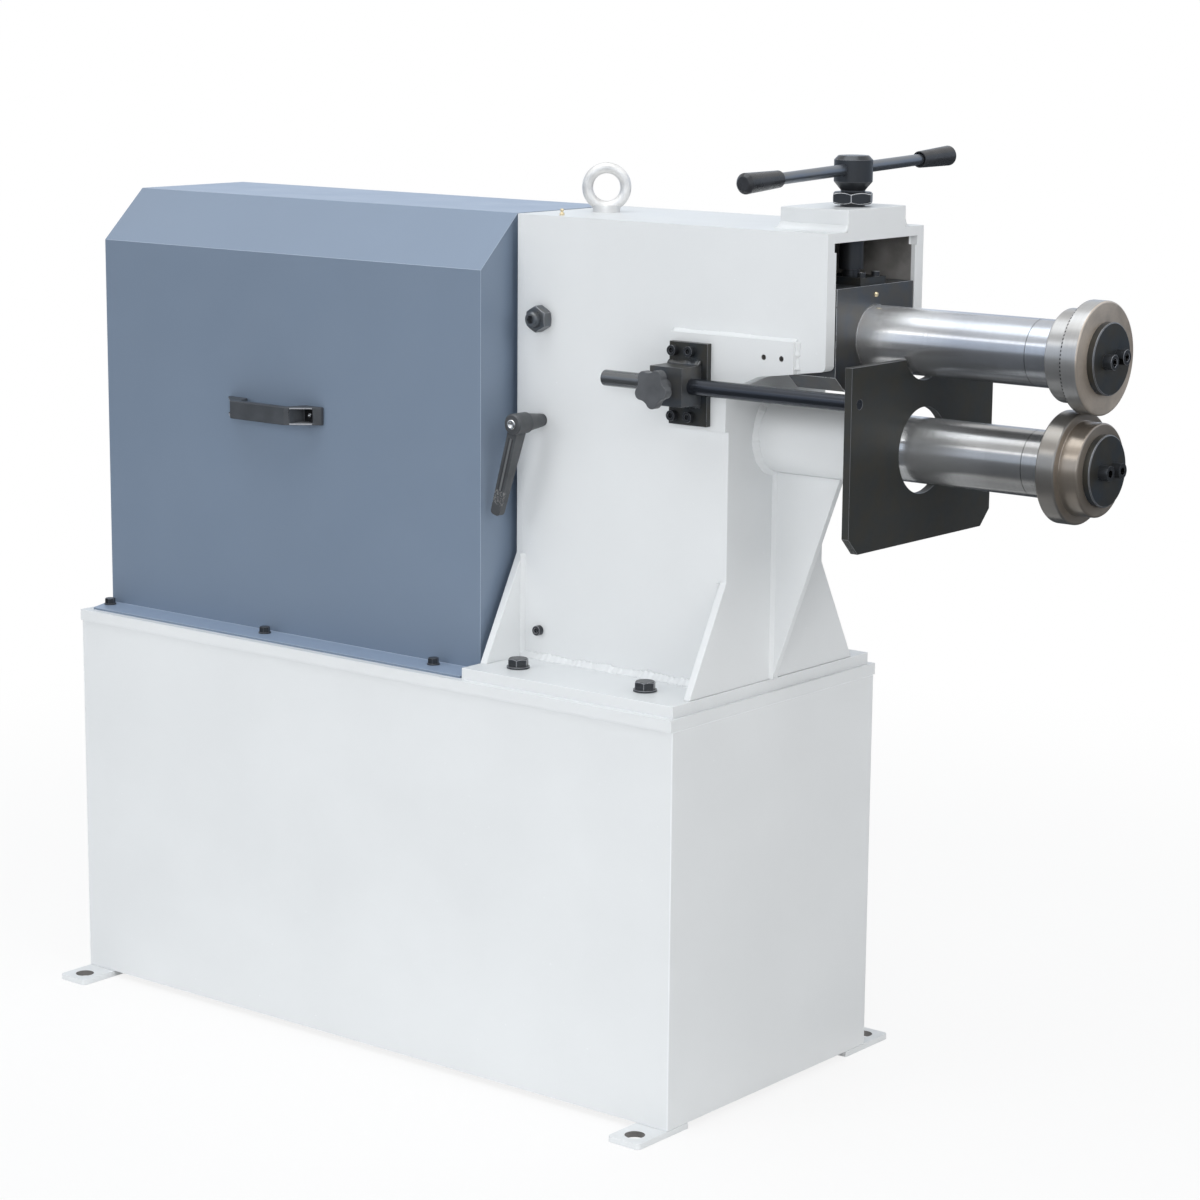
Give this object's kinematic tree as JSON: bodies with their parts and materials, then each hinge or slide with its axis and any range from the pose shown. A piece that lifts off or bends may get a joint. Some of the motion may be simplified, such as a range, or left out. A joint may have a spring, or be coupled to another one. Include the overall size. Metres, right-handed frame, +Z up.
{
  "type": "swaging machine",
  "caption": "Motor-driven swaging machine: a welded frame on a cabinet holds a fixed lower roll and a tilting upper roll set by a T-handled screw, with a depth stop and drive guard.",
  "frame": {"origin": "on the floor, at the middle of the four anchor holes under the cabinet", "axes": "+X along the shafts from the drive guard to the rolls, +Z up, and -Y towards the side with the clamp lever and the depth gauge"},
  "size_m": [1.5275, 0.551, 1.2127],
  "materials": {
    "frame_paint": "pale grey semi-gloss enamel",
    "guard_paint": "blue-grey semi-gloss enamel",
    "black_steel": "black oxide steel, lightly oiled",
    "ground_steel": "turned and ground steel",
    "zinc_plate": "bright zinc plate",
    "roll_steel": "turned tool steel",
    "bronze": "plain turned bearing bronze",
    "black_plastic": "moulded black plastic",
    "gearbox_iron": "painted cast iron",
    "motor_aluminium": "painted aluminium"
  },
  "bodies": {
    "frame": {"cabinet_shell": "frame_paint", "cabinet_top_plate": "frame_paint", "foot_bars": "frame_paint", "frame_base_plate": "frame_paint", "base_bolts": "black_steel", "frame_rear_plate": "frame_paint", "frame_front_plate": "frame_paint", "right_side_plate": "frame_paint", "left_side_plate": "frame_paint", "frame_top_plate": "frame_paint", "screw_boss_block": "frame_paint", "lower_shaft_tube": "frame_paint", "front_gusset": "frame_paint", "gauge_pad": "frame_paint", "gauge_bracket_plate": "black_steel", "gauge_clamp_block": "black_steel", "bracket_screws": "black_steel", "eye_bolt": "zinc_plate", "pivot_pins": "black_steel", "pivot_nuts": "black_steel", "plug_bolt": "black_steel", "lower_rear_housing": "black_steel", "lower_front_bush": "bronze", "motor_pedestal": "frame_paint", "gearbox_case": "gearbox_iron", "motor_housing": "motor_aluminium", "fan_cowl": "black_plastic"},
    "stop_gauge": {"gauge_rod": "black_steel", "stop_plate": "black_steel"},
    "star_knob": {"star_knob": "black_plastic"},
    "clamp_lever": {"clamp_lever": "black_steel"},
    "lower_sleeve": {"lower_rear_sleeve": "ground_steel"},
    "lower_roll": {"lower_shaft": "ground_steel", "lower_gear": "ground_steel", "lower_spacer_ring": "ground_steel", "lower_die": "roll_steel", "lower_cap_disc": "black_steel", "lower_cap_screws": "black_steel"},
    "gearbox_output": {"gearbox_hollow_shaft": "ground_steel"},
    "motor_rotor": {"motor_rotor": "ground_steel"},
    "upper_carrier": {"upper_rear_housing": "black_steel", "upper_rear_bush": "bronze", "slide_block": "black_steel", "upper_front_bush": "bronze", "spindle_retainer_plate": "black_steel", "retainer_screws": "black_steel"},
    "upper_roll": {"upper_shaft": "ground_steel", "upper_gear": "ground_steel", "upper_spacer_ring": "ground_steel", "upper_die": "roll_steel", "upper_cap_disc": "black_steel", "upper_cap_screws": "black_steel"},
    "screw_foot": {"thrust_washer": "bronze"},
    "adjusting_screw": {"adjusting_screw": "black_steel"},
    "t_handle": {"t_handle_bar": "black_steel", "t_handle_grips": "black_plastic"},
    "jam_nut": {"jam_nut": "black_steel"},
    "guard": {"guard_cover": "guard_paint", "guard_bolts": "black_steel", "pull_handle": "black_plastic"}
  },
  "joints": [
    {"name": "stop_gauge_slide", "type": "slide", "parent": "frame", "child": "stop_gauge", "axis": [1, 0, 0], "range_m": [-0.06, 0.08]},
    {"name": "star_knob_turn", "type": "hinge", "parent": "frame", "child": "star_knob", "pos_m": [0.4645, -0.17, 0.929], "axis": [0, -1, 0], "range_deg": [0, 360]},
    {"name": "clamp_lever_turn", "type": "hinge", "parent": "frame", "child": "clamp_lever", "pos_m": [0.224, -0.149, 0.8605], "axis": [0, -1, 0], "range_deg": [-2.5, 75]},
    {"name": "lower_sleeve_shift", "type": "slide", "parent": "frame", "child": "lower_sleeve", "axis": [1, 0, 0], "range_m": [-0.004, 0.0008]},
    {"name": "lower_roll_spin", "type": "hinge", "parent": "lower_sleeve", "child": "lower_roll", "pos_m": [0.5, 0, 0.8605], "axis": [1, 0, 0], "continuous": true},
    {"name": "gearbox_output_spin", "type": "hinge", "parent": "frame", "child": "gearbox_output", "pos_m": [-0.13, 0, 0.8605], "axis": [1, 0, 0], "continuous": true},
    {"name": "motor_rotor_spin", "type": "hinge", "parent": "frame", "child": "motor_rotor", "pos_m": [-0.35, 0, 0.8605], "axis": [1, 0, 0], "continuous": true},
    {"name": "upper_carrier_tilt", "type": "hinge", "parent": "frame", "child": "upper_carrier", "pos_m": [0.224, 0, 0.9905], "axis": [0, -1, 0], "range_deg": [-0.41, 1.21]},
    {"name": "upper_roll_spin", "type": "hinge", "parent": "upper_carrier", "child": "upper_roll", "pos_m": [0.5, 0, 0.9905], "axis": [1, 0, 0], "continuous": true},
    {"name": "screw_foot_lift", "type": "slide", "parent": "frame", "child": "screw_foot", "axis": [0, 0, 1], "range_m": [-0.00283, 0.00837]},
    {"name": "screw_turn", "type": "hinge", "parent": "screw_foot", "child": "adjusting_screw", "pos_m": [0.6245, 0, 1.1], "axis": [0, 0, 1], "range_deg": [-290, 860]},
    {"name": "t_handle_slide", "type": "slide", "parent": "adjusting_screw", "child": "t_handle", "axis": [0, 0.9992, 0.0393], "range_m": [-0.119, 0.13]},
    {"name": "jam_nut_turn", "type": "hinge", "parent": "adjusting_screw", "child": "jam_nut", "pos_m": [0.6245, 0, 1.157], "axis": [0, 0, 1], "range_deg": [0, 180]},
    {"name": "guard_lift", "type": "slide", "parent": "frame", "child": "guard", "axis": [0, 0, 1], "range_m": [0, 0.45]}
  ],
  "couplings": [
    {"joint": "gearbox_output_spin", "follows": "lower_roll_spin", "ratio": 1},
    {"joint": "motor_rotor_spin", "follows": "lower_roll_spin", "ratio": 20},
    {"joint": "upper_roll_spin", "follows": "lower_roll_spin", "ratio": -1},
    {"joint": "upper_carrier_tilt", "follows": "screw_turn", "ratio": 0.0013926},
    {"joint": "screw_foot_lift", "follows": "screw_turn", "m_per_rad": 0.00055704}
  ]
}
